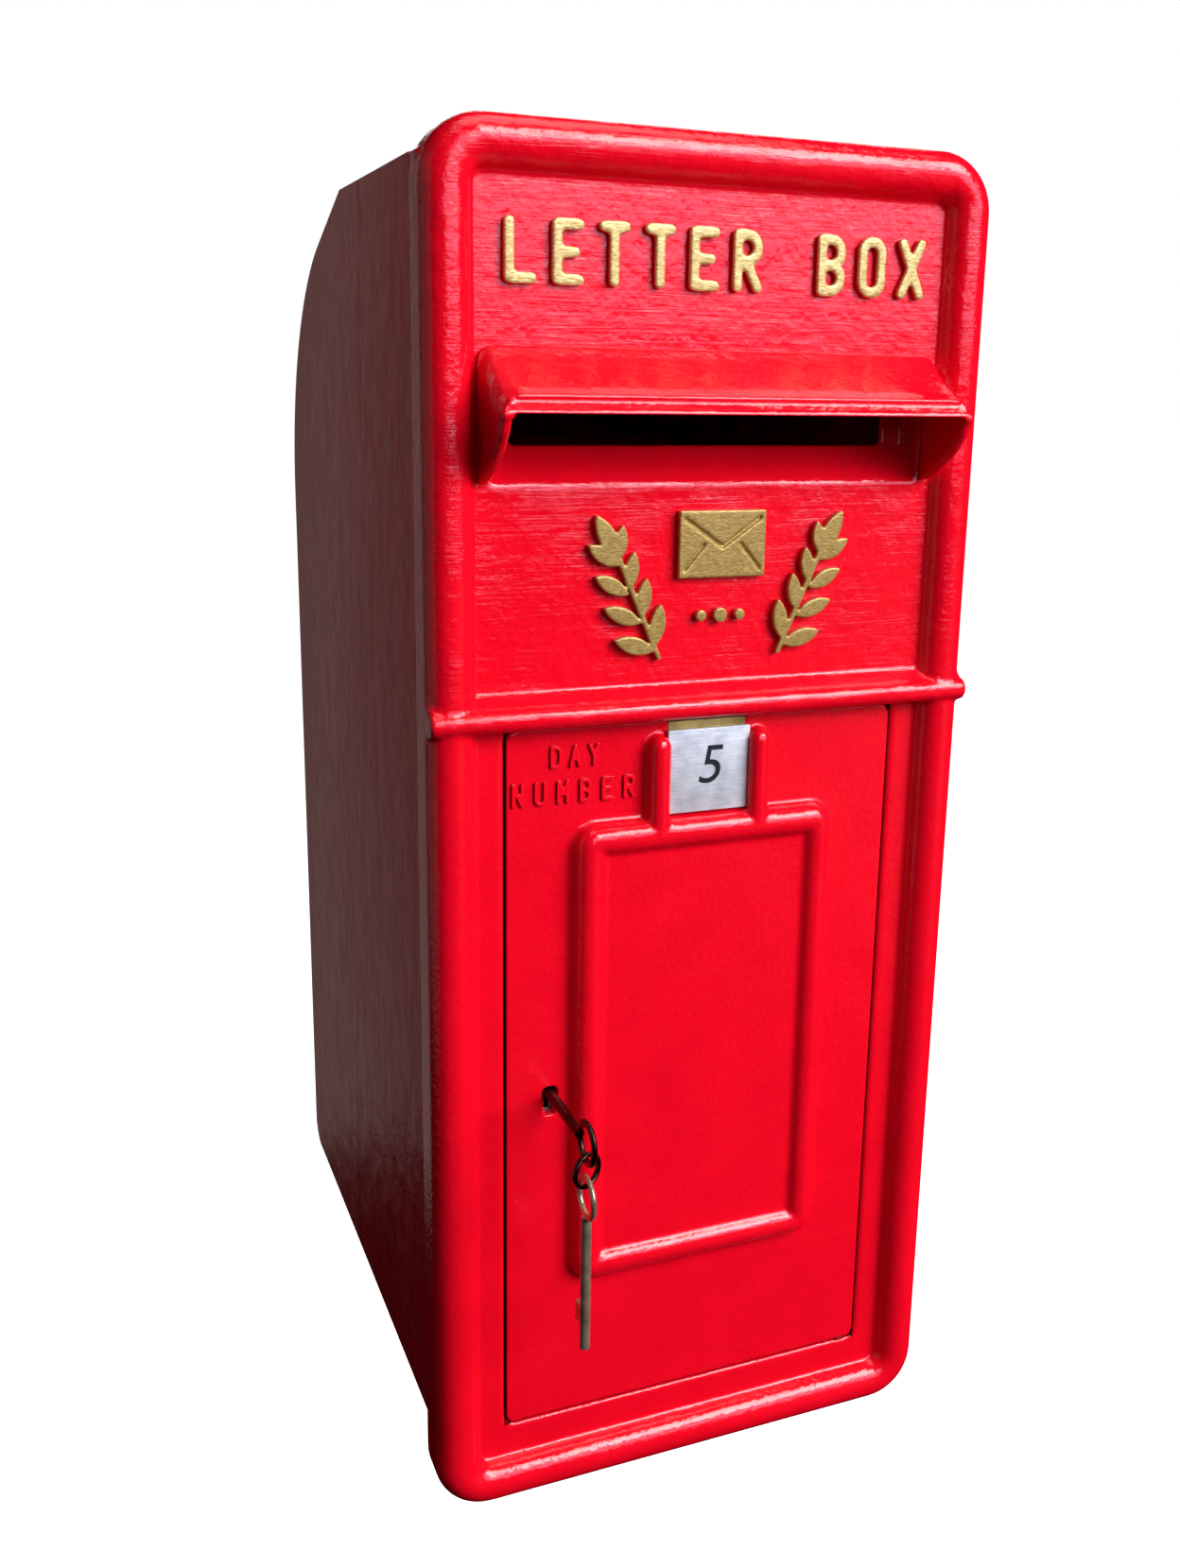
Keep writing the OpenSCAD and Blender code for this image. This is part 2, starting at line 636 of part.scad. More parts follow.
// The talon is as wide as the bit's sweep at the bolt's lower edge plus what the bolt moves meanwhile.
module lock_bolt() {
  meet = acos(bolt_b / bit_r);
  sweep = bit_r * sin(meet) + bit_t / 2 + 0.6;
  early = bolt_throw * (180 - meet) / 360;
  late = bolt_throw * (180 + meet) / 360;
  color(brass) {
    difference() {
      lock_slab(bolt_y0, bolt_y0 + bolt_t) span([bolt_end - key_x, bolt_b], [bolt_tail, bolt_b + bolt_h]);
      lock_slab(bolt_y0 - cut, bolt_y0 + bolt_t + cut)
        span([late - sweep, bolt_b - cut], [sweep + early, bit_r + 0.5]);
    }
    rod(key_x + stump[0], key_z + stump[1], bolt_y0 + bolt_t - cut, bit_y1, stump_r);
  }
}

function lever_y(i) = lever_y0 + i * (lever_t + 0.3);

module lever_outline() {
  lift = 3;
  difference() {
    union() {
      span([-12, bit_r + 1.2], [pivot[0], 24.6]);
      translate(pivot) circle(3.6);
    }
    span([stump[0] - bolt_throw - stump_r - 0.8, stump[1] - stump_r - lift],
      [stump[0] + stump_r + 0.8, stump[1] + stump_r + 0.5]);
    translate(pivot) circle(pivot_r + run_gap);
  }
}

module lock_levers() {
  color(brass) for (i = [0 : lever_n - 1]) lock_slab(lever_y(i), lever_y(i) + lever_t) lever_outline();
}

module lever_springs() {
  top = case_top - sheet_t - 0.2;
  color(steel) for (i = [0 : lever_n - 1]) lock_slab(lever_y(i) + 0.2, lever_y(i) + lever_t - 0.2)
    polygon([[13, 24.6], [11, 24.6], [8, 27], [-9, top], [-8.4, top], [8.4, 27.6], [13, 25.2]]);
}

module lever_pivot() {
  color(steel) rod(key_x + pivot[0], key_z + pivot[1], lock_y0 + sheet_t, lock_y1, pivot_r);
}

function keep_z() = [key_z + bolt_b - 6, key_z + bolt_b + bolt_h + 6];

module bolt_keep() {
  reach = bolt_y0 + bolt_t + seat_gap;
  low = key_z + bolt_b - seat_gap;
  high = key_z + bolt_b + bolt_h + seat_gap;
  color(steel) difference() {
    across(keep_x0, keep_x1) difference() {
      union() {
        translate([plate_t, low - 9]) square([1.5, high - low + 18]);
        translate([plate_t, low - 1.5]) square([reach - plate_t + 1.5, high - low + 3]);
      }
      translate([plate_t - cut, low]) square([reach - plate_t + cut, high - low]);
    }
    for (z = keep_z()) rod((keep_x0 + keep_x1) / 2, z, plate_t - cut, plate_t + 2 + cut, 1.5 + fit_gap);
  }
}

module keep_screws() {
  color(steel) for (z = keep_z())
    pan_screw((keep_x0 + keep_x1) / 2, z, plate_t + 1.5, plate_t - 3.5, 1.5, 2.6, 1.6);
}

// ---- keys ----

// A rim's cross-section, with its corners rounded as far as the thinner way allows.
module rim_section(width, thick) {
  r = min(width, thick) / 2;
  dx = width / 2 - r;
  dy = thick / 2 - r;
  if (dx > 0) span([-dx, -r], [dx, r]);
  if (dy > 0) span([-r, -dy], [r, dy]);
  for (x = [-dx, dx], y = [-dy, dy]) translate([x, y]) circle(r);
}

// A key along y with its bow's centre at the origin and its bit pointing down.
module key_blank() {
  tip = key_len - bow_r;
  bit0 = bow_out + bit_y0;
  rotate([0, 90, 0]) rotate_extrude() translate([bow_r - bow_w / 2, 0]) rim_section(bow_w, bow_t);
  rod(0, 0, bow_r - bow_w / 2, tip, shank_r);
  difference() {
    box(-bit_t / 2, bit_t / 2, bit0, bow_out + bit_y1, -bit_r, 0);
    for (i = [0 : 2]) let (y = bit0 + 1.6 + 2.5 * i)
      box(-bit_t, bit_t, y, y + 0.8, -bit_r - cut, -bit_r + 2 + i % 2);
  }
}

module door_key() { color(bronze) translate([key_x, -bow_out, key_z]) key_blank(); }

// The ring and the spare key hang loosely, each on the rim above it.
hang_gap = 0.5;
hook = bow_r - bow_w;
ring_z = key_z - hook + hang_gap - (ring_r - ring_w);
spare_z = ring_z - (ring_r - ring_w) + hang_gap - hook;

module split_ring() {
  color(bronze) translate([key_x, -bow_out, ring_z]) rotate([90, 0, ring_turn])
    rotate_extrude() translate([ring_r - ring_w / 2, 0]) rim_section(ring_w, ring_t);
}

module spare_key() {
  color(steel) translate([key_x, -bow_out, spare_z]) rotate([-90, 0, 180]) key_blank();
}

place() front_frame();
place() slot_hood();
place() hood_screws();
place() header_letters();
place() emblem();
place() rear_casing();
place() casing_bolts();
place() letter_chute();
place() chute_screws();
place() hinge_pins();
place() hinge_washer();
place() door();
place() door_letters();
place() tablet_backplate();
place() day_tablet();
place() lock_case();
place() lock_cap();
place() cap_screws();
place() lock_screws();
place() lock_bolt();
place() lock_levers();
place() lever_springs();
place() lever_pivot();
place() bolt_keep();
place() keep_screws();
place() door_key();
place() split_ring();
place() spare_key();
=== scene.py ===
"""A wall letter box with a brush-painted cast-iron front, a plate casing, a locked door and hanging keys.

Widths, heights, depths and grains given as fields are in millimetres. The frame, the studio's lights and
camera, and whatever is read from the frame are in metres.
"""
import logging
import math
from dataclasses import dataclass, field
from enum import Enum
from typing import Mapping, Sequence

import bpy
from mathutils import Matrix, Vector


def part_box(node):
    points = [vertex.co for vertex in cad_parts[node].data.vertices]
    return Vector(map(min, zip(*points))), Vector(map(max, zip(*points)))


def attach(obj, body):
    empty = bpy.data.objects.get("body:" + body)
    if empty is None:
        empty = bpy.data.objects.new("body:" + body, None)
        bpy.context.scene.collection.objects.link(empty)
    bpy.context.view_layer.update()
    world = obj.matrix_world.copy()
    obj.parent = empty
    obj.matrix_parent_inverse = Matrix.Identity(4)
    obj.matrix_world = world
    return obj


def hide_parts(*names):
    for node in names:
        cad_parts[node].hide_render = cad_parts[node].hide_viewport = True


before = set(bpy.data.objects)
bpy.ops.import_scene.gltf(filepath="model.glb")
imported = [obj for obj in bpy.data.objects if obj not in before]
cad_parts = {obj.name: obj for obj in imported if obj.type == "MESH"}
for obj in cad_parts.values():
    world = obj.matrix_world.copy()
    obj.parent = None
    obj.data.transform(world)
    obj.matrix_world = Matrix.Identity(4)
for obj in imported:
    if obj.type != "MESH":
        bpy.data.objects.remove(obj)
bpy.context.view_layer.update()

LOG = logging.getLogger("letter_box")
MM = 0.001
NODES: Mapping[str, bpy.types.Object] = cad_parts
MERGE_DISTANCE = 0.002 * MM
FLAT_ANGLE = math.radians(1.0)
EDGE_ANGLE = math.radians(40)
SMOOTH_ANGLE = math.radians(38)


class Slot(Enum):
    """The record's material slots."""

    RED = "red_painted_iron"
    GOLD = "gold_paint"
    ZINC = "zinc_steel"
    SPRING = "spring_steel"
    TABLET = "brushed_tablet_steel"
    BRASS = "brass"
    BRONZED = "bronzed_steel"
    NICKEL = "nickel_steel"


class Body(Enum):
    """The bodies that pieces ride on."""

    BOX = "box"
    DOOR = "door"
    TABLET = "tablet"
    BOLT = "bolt"
    LEVERS = "levers"
    KEY = "key"
    RING = "ring"
    SPARE = "spare"


class Grain(Enum):
    """Which way the marks of brush or belt run.

    Each value is the length of one mark along x, y and z, as a multiple of its width.
    """

    ACROSS = (22.0, 3.0, 1.0)
    UPRIGHT = (1.0, 3.0, 22.0)
    EVEN = (1.0, 1.0, 1.0)


# ---- colour and material helpers ----


def linear(code: str) -> tuple[float, float, float, float]:
    """Turn an sRGB hex colour to linear light.

    Args:
        code: Colour as "#RRGGBB".

    Returns:
        Red, green, blue and an alpha of one.
    """
    channels = [int(code[i:i + 2], 16) / 255 for i in (1, 3, 5)]
    r, g, b = [c / 12.92 if c <= 0.04045 else ((c + 0.055) / 1.055) ** 2.4 for c in channels]
    return r, g, b, 1.0


def add_node(
    tree: bpy.types.NodeTree,
    kind: str,
    settings: Mapping | None = None,
    inputs: Mapping | None = None,
) -> bpy.types.Node:
    """Add one shader node with its settings, values and links.

    Args:
        tree: Node tree that takes the node.
        kind: Blender's identifier of the node.
        settings: Properties of the node by name.
        inputs: Input values, or output sockets to link from, by input name or number.

    Returns:
        The new node.
    """
    node = tree.nodes.new(kind)
    for name, value in (settings or {}).items():
        setattr(node, name, value)
    for name, value in (inputs or {}).items():
        if isinstance(value, bpy.types.NodeSocket):
            tree.links.new(value, node.inputs[name])
        else:
            node.inputs[name].default_value = value
    return node


def blank_material(name: str) -> tuple[bpy.types.Material, bpy.types.NodeTree, bpy.types.NodeSocket]:
    """Start a material with an empty tree.

    Args:
        name: Name of the finish.

    Returns:
        The material, its tree, and the object-coordinate socket that patterns read.
    """
    material = bpy.data.materials.new(name)
    material.use_nodes = True
    tree = material.node_tree
    tree.nodes.clear()
    coordinates = add_node(tree, "ShaderNodeTexCoord").outputs["Object"]
    return material, tree, coordinates


def finish_tree(tree: bpy.types.NodeTree, shader: bpy.types.Node) -> None:
    """Link a shader to the material's output.

    Args:
        tree: The material's tree.
        shader: Node whose first output is the surface.
    """
    add_node(tree, "ShaderNodeOutputMaterial", inputs={"Surface": shader.outputs[0]})


def stretched(width: float, grain: Grain) -> tuple[float, float, float]:
    """Scale of a pattern whose marks are so many millimetres wide and run with the grain.

    Args:
        width: Width of one mark in millimetres.
        grain: Direction the marks run in.

    Returns:
        The scale on x, y and z, for coordinates in metres.
    """
    x, y, z = (1 / (width * MM * share) for share in grain.value)
    return x, y, z


# ---- finishes ----


@dataclass(frozen=True)
class GlossEnamel:
    """Gloss enamel laid on cast iron with a hand brush, many coats thick.

    The brush leaves strokes along the grain, and the coats lie in lumps and a fine peel that break the
    reflections. Strokes and lumps keep only the calm share of their height below the band. Painted shade
    darkens the gap round the door, whose centre and half widths are in seam, in metres.
    """

    name: str
    colour: str = "#E60A20"
    shade: str = "#D2051A"
    roughness: float = 0.11
    rough_strokes: float = 0.21
    stroke_width: float = 1.9
    stroke_height: float = 0.24
    lump_width: float = 7.5
    lump_height: float = 0.48
    peel_width: float = 2.4
    peel_height: float = 0.17
    calm: float = 0.34
    patch_width: float = 26.0
    patch_range: tuple[float, float] = (0.38, 0.62)
    patch_floor: float = 0.35
    stroke_range: tuple[float, float] = (0.4, 0.75)
    refraction: float = 1.52
    # near-black red painted into the gap round the door as its shade
    gap_shade_colour: str = "#4A0608"
    seam_width: float = 1.2
    seam_core: float = 0.3
    seam_edge: float = 0.75
    band_top: float = 0.12
    band_blend: float = 6.0
    seam: tuple[float, float, float, float] = (0.0, 0.0, 1.0, 1.0)
    grain: Grain = Grain.ACROSS

    def gap_shade_mask(self, tree: bpy.types.NodeTree, coordinates: bpy.types.NodeSocket) -> bpy.types.NodeSocket:
        """Find the gap round the door, where shade is painted in.

        Args:
            tree: The material's tree.
            coordinates: Object-coordinate socket.

        Returns:
            A socket that is one in the gap and nought a little way from it.
        """
        x, z, half_x, half_z = self.seam
        centred = add_node(tree, "ShaderNodeVectorMath", {"operation": "SUBTRACT"}, {
            0: coordinates, 1: (x, 0.0, z)}).outputs[0]
        folded = add_node(tree, "ShaderNodeVectorMath", {"operation": "ABSOLUTE"}, {0: centred}).outputs[0]
        past = add_node(tree, "ShaderNodeVectorMath", {"operation": "SUBTRACT"}, {
            0: folded, 1: (half_x, 0.0, half_z)}).outputs[0]
        sides = add_node(tree, "ShaderNodeSeparateXYZ", inputs={0: past})
        outside = add_node(tree, "ShaderNodeMath", {"operation": "MAXIMUM"}, {
            0: sides.outputs["X"], 1: sides.outputs["Z"]}).outputs[0]
        away = add_node(tree, "ShaderNodeMath", {"operation": "ABSOLUTE"}, {0: outside}).outputs[0]
        return add_node(tree, "ShaderNodeMapRange", {"interpolation_type": "SMOOTHSTEP"}, {
            "Value": away, "From Min": self.seam_core * self.seam_width * MM,
            "From Max": self.seam_edge * self.seam_width * MM, "To Min": 1.0, "To Max": 0.0}).outputs[0]

    def build(self) -> bpy.types.Material:
        """Make the enamel.

        Returns:
            The material.
        """
        material, tree, coordinates = blank_material(self.name)
        height = add_node(tree, "ShaderNodeSeparateXYZ", inputs={0: coordinates}).outputs["Z"]
        upper = add_node(tree, "ShaderNodeMapRange", {"interpolation_type": "SMOOTHSTEP"}, {
            "Value": height, "From Min": self.band_top - self.band_blend * MM,
            "From Max": self.band_top + self.band_blend * MM,
            "To Min": self.calm, "To Max": 1.0}).outputs[0]
        placed = add_node(tree, "ShaderNodeMapping", inputs={
            "Vector": coordinates, "Scale": stretched(self.stroke_width, self.grain)}).outputs[0]
        strokes = add_node(tree, "ShaderNodeTexNoise", inputs={
            "Vector": placed, "Scale": 1.0, "Detail": 4.0, "Roughness": 0.62, "Distortion": 1.4}).outputs[0]
        patches = add_node(tree, "ShaderNodeTexNoise", inputs={
            "Vector": coordinates, "Scale": 1 / (self.patch_width * MM), "Detail": 2.0}).outputs[0]
        patchy = add_node(tree, "ShaderNodeMapRange", inputs={
            "Value": patches, "From Min": self.patch_range[0], "From Max": self.patch_range[1],
            "To Min": self.patch_floor, "To Max": 1.0}).outputs[0]
        laid = add_node(tree, "ShaderNodeMath", {"operation": "MULTIPLY"}, {0: strokes, 1: upper}).outputs[0]
        relief = add_node(tree, "ShaderNodeMath", {"operation": "MULTIPLY"}, {0: laid, 1: patchy}).outputs[0]
        lumps = add_node(tree, "ShaderNodeTexNoise", inputs={
            "Vector": coordinates, "Scale": 1 / (self.lump_width * MM), "Detail": 1.5}).outputs[0]
        rolled = add_node(tree, "ShaderNodeMath", {"operation": "MULTIPLY"}, {0: lumps, 1: upper}).outputs[0]
        brushed = add_node(tree, "ShaderNodeBump", inputs={
            "Height": relief, "Strength": 1.0, "Distance": self.stroke_height * MM}).outputs[0]
        lumpy = add_node(tree, "ShaderNodeBump", inputs={
            "Height": rolled, "Strength": 1.0, "Distance": self.lump_height * MM,
            "Normal": brushed}).outputs[0]
        peel = add_node(tree, "ShaderNodeTexNoise", inputs={
            "Vector": coordinates, "Scale": 1 / (self.peel_width * MM), "Detail": 1.0}).outputs[0]
        peeled = add_node(tree, "ShaderNodeBump", inputs={
            "Height": peel, "Strength": 1.0, "Distance": self.peel_height * MM, "Normal": lumpy}).outputs[0]
        tone = add_node(tree, "ShaderNodeMix", {"data_type": "RGBA"}, {
            0: patches, 6: linear(self.colour), 7: linear(self.shade)}).outputs[2]
        # painted shade: the paint turns to a near-black red in the gap round the door
        painted_gap_shade = add_node(tree, "ShaderNodeMix", {"data_type": "RGBA"}, {
            0: self.gap_shade_mask(tree, coordinates), 6: tone, 7: linear(self.gap_shade_colour)}).outputs[2]
        gloss = add_node(tree, "ShaderNodeMapRange", inputs={
            "Value": strokes, "From Min": self.stroke_range[0], "From Max": self.stroke_range[1],
            "To Min": self.roughness, "To Max": self.rough_strokes}).outputs[0]
        shader = add_node(tree, "ShaderNodeBsdfPrincipled", inputs={
            "Base Color": painted_gap_shade, "Roughness": gloss, "IOR": self.refraction, "Normal": peeled})
        finish_tree(tree, shader)
        return material


@dataclass(frozen=True)
class GildedRelief:
    """Raised relief whose tops are picked out in another paint than its walls.

    By default the tops are gold, a bronze-powder paint that is half metallic, matt and streaked by a
    small brush. With no powder and two reds it is plain enamel over walls whose near-black red is painted
    shade. The front is the foremost y of the relief in metres, and the depth is how far the top paint
    reaches back from it.
    """

    name: str
    front: float
    depth: float = 1.1
    gold: str = "#E8D28E"
    dull: str = "#A98742"
    red: str = "#D60014"
    powder: float = 0.45
    gloss: float = 0.34
    wall_gloss: float = 0.18
    streak_width: float = 0.55
    streak_length: float = 4.0
    streak_height: float = 0.12
    streak_range: tuple[float, float] = (0.36, 0.66)
    wander: float = 0.5
    fade: float = 0.4

    def build(self) -> bpy.types.Material:
        """Make the two-coloured paint.

        Returns:
            The material.
        """
        material, tree, coordinates = blank_material(self.name)
        along = 1 / (self.streak_length * self.streak_width * MM)
        across = 1 / (self.streak_width * MM)
        placed = add_node(tree, "ShaderNodeMapping", inputs={
            "Vector": coordinates, "Scale": (along, along, across)}).outputs[0]
        streaks = add_node(tree, "ShaderNodeTexNoise", inputs={
            "Vector": placed, "Scale": 1.0, "Detail": 3.0, "Roughness": 0.65}).outputs[0]
        back = add_node(tree, "ShaderNodeSeparateXYZ", inputs={0: coordinates}).outputs["Y"]
        ragged = add_node(tree, "ShaderNodeMath", {"operation": "MULTIPLY_ADD"}, {
            0: streaks, 1: self.wander * MM, 2: back}).outputs[0]
        top = add_node(tree, "ShaderNodeMapRange", inputs={
            "Value": ragged, "From Min": self.front + (self.depth + self.fade) * MM,
            "From Max": self.front + self.depth * MM}).outputs[0]
        worn = add_node(tree, "ShaderNodeMapRange", inputs={
            "Value": streaks, "From Min": self.streak_range[0],
            "From Max": self.streak_range[1]}).outputs[0]
        gilt = add_node(tree, "ShaderNodeMix", {"data_type": "RGBA"}, {
            0: worn, 6: linear(self.dull), 7: linear(self.gold)}).outputs[2]
        # the walls take the red colour; on the cast door words this near-black red is painted shade
        colour = add_node(tree, "ShaderNodeMix", {"data_type": "RGBA"}, {
            0: top, 6: linear(self.red), 7: gilt}).outputs[2]
        metal = add_node(tree, "ShaderNodeMath", {"operation": "MULTIPLY"}, {
            0: top, 1: self.powder}).outputs[0]
        rough = add_node(tree, "ShaderNodeMapRange", inputs={
            "Value": top, "To Min": self.wall_gloss, "To Max": self.gloss}).outputs[0]
        bumpy = add_node(tree, "ShaderNodeBump", inputs={
            "Height": streaks, "Strength": 1.0, "Distance": self.streak_height * MM}).outputs[0]
        shader = add_node(tree, "ShaderNodeBsdfPrincipled", inputs={
            "Base Color": colour, "Metallic": metal, "Roughness": rough, "Normal": bumpy})
        finish_tree(tree, shader)
        return material


@dataclass(frozen=True)
class WorkedMetal:
    """Bare or plated metal whose colour, gloss and marks come from how it was made.

    Belt or lathe marks run with the grain, and a slower pattern stains the colour where hands or
    weather have dulled it. The bare share is how far the surface reflects as clean metal, and less
    than one stands for a film of dirt or lacquer.
    """

    name: str
    colour: str
    stain: str
    roughness: float = 0.3
    dull: float = 0.42
    mark_width: float = 0.35
    mark_height: float = 0.03
    stain_width: float = 9.0
    stain_range: tuple[float, float] = (0.42, 0.7)
    mark_range: tuple[float, float] = (0.3, 0.7)
    mark_tint: tuple[float, float] = (0.82, 1.12)
    bare: float = 1.0
    grain: Grain = Grain.EVEN

    def build(self) -> bpy.types.Material:
        """Make the metal.

        Returns:
            The material.
        """
        material, tree, coordinates = blank_material(self.name)
        placed = add_node(tree, "ShaderNodeMapping", inputs={
            "Vector": coordinates, "Scale": stretched(self.mark_width, self.grain)}).outputs[0]
        marks = add_node(tree, "ShaderNodeTexNoise", inputs={
            "Vector": placed, "Scale": 1.0, "Detail": 3.0, "Roughness": 0.6}).outputs[0]
        stains = add_node(tree, "ShaderNodeTexNoise", inputs={
            "Vector": coordinates, "Scale": 1 / (self.stain_width * MM), "Detail": 3.0}).outputs[0]
        stained = add_node(tree, "ShaderNodeMapRange", inputs={
            "Value": stains, "From Min": self.stain_range[0], "From Max": self.stain_range[1]}).outputs[0]
        tint = add_node(tree, "ShaderNodeMix", {"data_type": "RGBA"}, {
            0: stained, 6: linear(self.colour), 7: linear(self.stain)}).outputs[2]
        streaked = add_node(tree, "ShaderNodeMapRange", inputs={
            "Value": marks, "From Min": self.mark_range[0], "From Max": self.mark_range[1],
            "To Min": self.mark_tint[0], "To Max": self.mark_tint[1]}).outputs[0]
        colour = add_node(tree, "ShaderNodeVectorMath", {"operation": "SCALE"}, {
            0: tint, "Scale": streaked}).outputs[0]
        gloss = add_node(tree, "ShaderNodeMapRange", inputs={
            "Value": marks, "From Min": self.mark_range[0], "From Max": self.mark_range[1],
            "To Min": self.roughness, "To Max": self.dull}).outputs[0]
        scored = add_node(tree, "ShaderNodeBump", inputs={
            "Height": marks, "Strength": 1.0, "Distance": self.mark_height * MM}).outputs[0]
        shader = add_node(tree, "ShaderNodeBsdfPrincipled", inputs={
            "Base Color": colour, "Metallic": self.bare, "Roughness": gloss, "Normal": scored})
        finish_tree(tree, shader)
        return material


@dataclass(frozen=True)
class FilledBlack:
    """Black stoving enamel run into an engraved figure: flat, slightly grained, barely glossy."""

    name: str
    colour: str = "#0D0D10"
    grey: str = "#26262B"
    roughness: float = 0.42
    grit_width: float = 0.6

    def build(self) -> bpy.types.Material:
        """Make the black.

        Returns:
            The material.
        """
        material, tree, coordinates = blank_material(self.name)
        grit = add_node(tree, "ShaderNodeTexNoise", inputs={
            "Vector": coordinates, "Scale": 1 / (self.grit_width * MM), "Detail": 2.0}).outputs[0]
        colour = add_node(tree, "ShaderNodeMix", {"data_type": "RGBA"}, {
            0: grit, 6: linear(self.colour), 7: linear(self.grey)}).outputs[2]
        shader = add_node(tree, "ShaderNodeBsdfPrincipled", inputs={
            "Base Color": colour, "Roughness": self.roughness})
        finish_tree(tree, shader)
        return material


@dataclass(frozen=True)
class StudioPaper:
    """Matt white background paper, which glows enough to burn out to a clean white."""

    name: str = "white_background_paper"
    colour: str = "#F4F4F2"
    glow: float = 1.1
    roughness: float = 0.9
    fibre_scale: float = 40.0
    fibre_height: float = 0.2

    def build(self) -> bpy.types.Material:
        """Make the paper.

        Returns:
            The material.
        """
        material, tree, coordinates = blank_material(self.name)
        fibre = add_node(tree, "ShaderNodeTexNoise", inputs={
            "Vector": coordinates, "Scale": self.fibre_scale}).outputs[0]
        bumpy = add_node(tree, "ShaderNodeBump", inputs={
            "Height": fibre, "Strength": 0.1, "Distance": self.fibre_height * MM}).outputs[0]
        shader = add_node(tree, "ShaderNodeBsdfPrincipled", inputs={
            "Base Color": linear(self.colour), "Roughness": self.roughness, "Normal": bumpy,
            "Emission Color": linear("#FFFFFF"), "Emission Strength": self.glow})
        finish_tree(tree, shader)
        return material


@dataclass
class Paints:
    """Every finish of the box, each made once. The heights, fronts and seam are in metres."""

    band_top: float
    letters_front: float
    emblem_front: float
    words_front: float
    seam: tuple[float, float, float, float]
    made: dict[str, bpy.types.Material] = field(default_factory=dict)

    def build(self) -> "Paints":
        """Make the materials.

        Returns:
            This set, filled.
        """
        finishes = {
            "enamel": GlossEnamel("brushed_gloss_enamel", band_top=self.band_top, seam=self.seam),
            "hood_enamel": GlossEnamel("thick_gloss_enamel", band_top=self.band_top, stroke_width=1.5,
                                       stroke_height=0.07, lump_width=14.0, lump_height=0.8),
            # this red is darker than the front's enamel: painted shade for the casing's unlit sides
            "casing_enamel": GlossEnamel("casing_enamel", band_top=self.band_top, colour="#DA0E20",
                                         shade="#B60818", roughness=0.24, rough_strokes=0.42,
                                         stroke_width=1.8, stroke_height=0.3, lump_width=16.0,
                                         lump_height=1.0, calm=0.8, grain=Grain.UPRIGHT),
            "letter_gilt": GildedRelief("gilded_lettering", front=self.letters_front),
            "emblem_gilt": GildedRelief("gilded_emblem", front=self.emblem_front, depth=1.6,
                                        gold="#C4A65E", dull="#94763A"),
            # the cast words' walls are a near-black red, painted shade round the raised words
            "word_enamel_and_shade": GildedRelief("lettering_enamel_and_painted_shade", front=self.words_front, depth=0.25,
                                        gold="#EB0A20", dull="#DC061A", red="#4A0006", powder=0.0,
                                        gloss=0.16),
            "tablet_steel": WorkedMetal("belt_brushed_stainless", "#DDE1E4", "#BFC6CC", roughness=0.36,
                                        dull=0.5, mark_width=0.5, mark_height=0.02, bare=0.45,
                                        grain=Grain.ACROSS),
            "brass": WorkedMetal("aged_brass_sheet", "#B9A05A", "#8C7438", roughness=0.3, grain=Grain.ACROSS),
            "zinc": WorkedMetal("zinc_plated_steel", "#A9ABAA", "#8B8D88", roughness=0.34, dull=0.5,
                                mark_width=0.8),
            "spring": WorkedMetal("blued_spring_steel", "#4C5360", "#39414F", roughness=0.25,
                                  mark_width=0.5, grain=Grain.UPRIGHT),
            "bronzed": WorkedMetal("oil_bronzed_steel", "#4E3C33", "#2A1E1A", roughness=0.2, dull=0.34,
                                   mark_width=0.6, stain_width=7.0),
            "nickel": WorkedMetal("worn_nickel_plate", "#C4AE90", "#94806A", roughness=0.2, dull=0.3,
                                  mark_width=0.5, stain_width=8.0, bare=0.75),
            "figure": FilledBlack("filled_black_enamel"),
        }
        self.made = {key: finish.build() for key, finish in finishes.items()}
        return self

    def dress(self, piece: bpy.types.Object, key: str) -> None:
        """Give a piece one finish all over.

        Args:
            piece: Object whose slots are set.
            key: Name of the finish in this set.
        """
        if not piece.data.materials:
            piece.data.materials.append(self.made[key])
        for slot in piece.material_slots:
            slot.link = "OBJECT"
            slot.material = self.made[key]


# ---- mesh helpers ----


def select_only(*pieces: bpy.types.Object) -> None:
    """Select these objects alone and make the first one active.

    Args:
        *pieces: Objects to select.
    """
    bpy.ops.object.select_all(action="DESELECT")
    for piece in pieces:
        piece.select_set(True)
    bpy.context.view_layer.objects.active = pieces[0]


def copy_of(name: str, *nodes: str) -> bpy.types.Object:
    """Copy frame nodes into one new, merged object.

    Args:
        name: Name of the new piece.
        *nodes: Nodes whose shapes are taken.

    Returns:
        The copy, at the origin, with its doubles merged.
    """
    copies = []
    for node in nodes:
        copy = bpy.data.objects.new(name, NODES[node].data.copy())
        bpy.context.scene.collection.objects.link(copy)
        copies.append(copy)
    select_only(*copies)
    if len(copies) > 1:
        bpy.ops.object.join()
    piece = copies[0]
    piece.name = name
    piece.data.materials.clear()
    select_only(piece)
    bpy.ops.object.mode_set(mode="EDIT")
    bpy.ops.mesh.select_all(action="SELECT")
    bpy.ops.mesh.remove_doubles(threshold=MERGE_DISTANCE)
    bpy.ops.mesh.normals_make_consistent(inside=False)
    bpy.ops.object.mode_set(mode="OBJECT")
    return piece


def apply_modifier(piece: bpy.types.Object, kind: str, **settings: object) -> None:
    """Add a modifier, set it and apply it.

    Args:
        piece: Object to change.
        kind: Blender's name of the modifier type.
        **settings: Properties of the modifier.
    """
    select_only(piece)
    modifier = piece.modifiers.new(kind.lower(), kind)
    for key, value in settings.items():
        setattr(modifier, key, value)
    bpy.ops.object.modifier_apply(modifier=modifier.name)


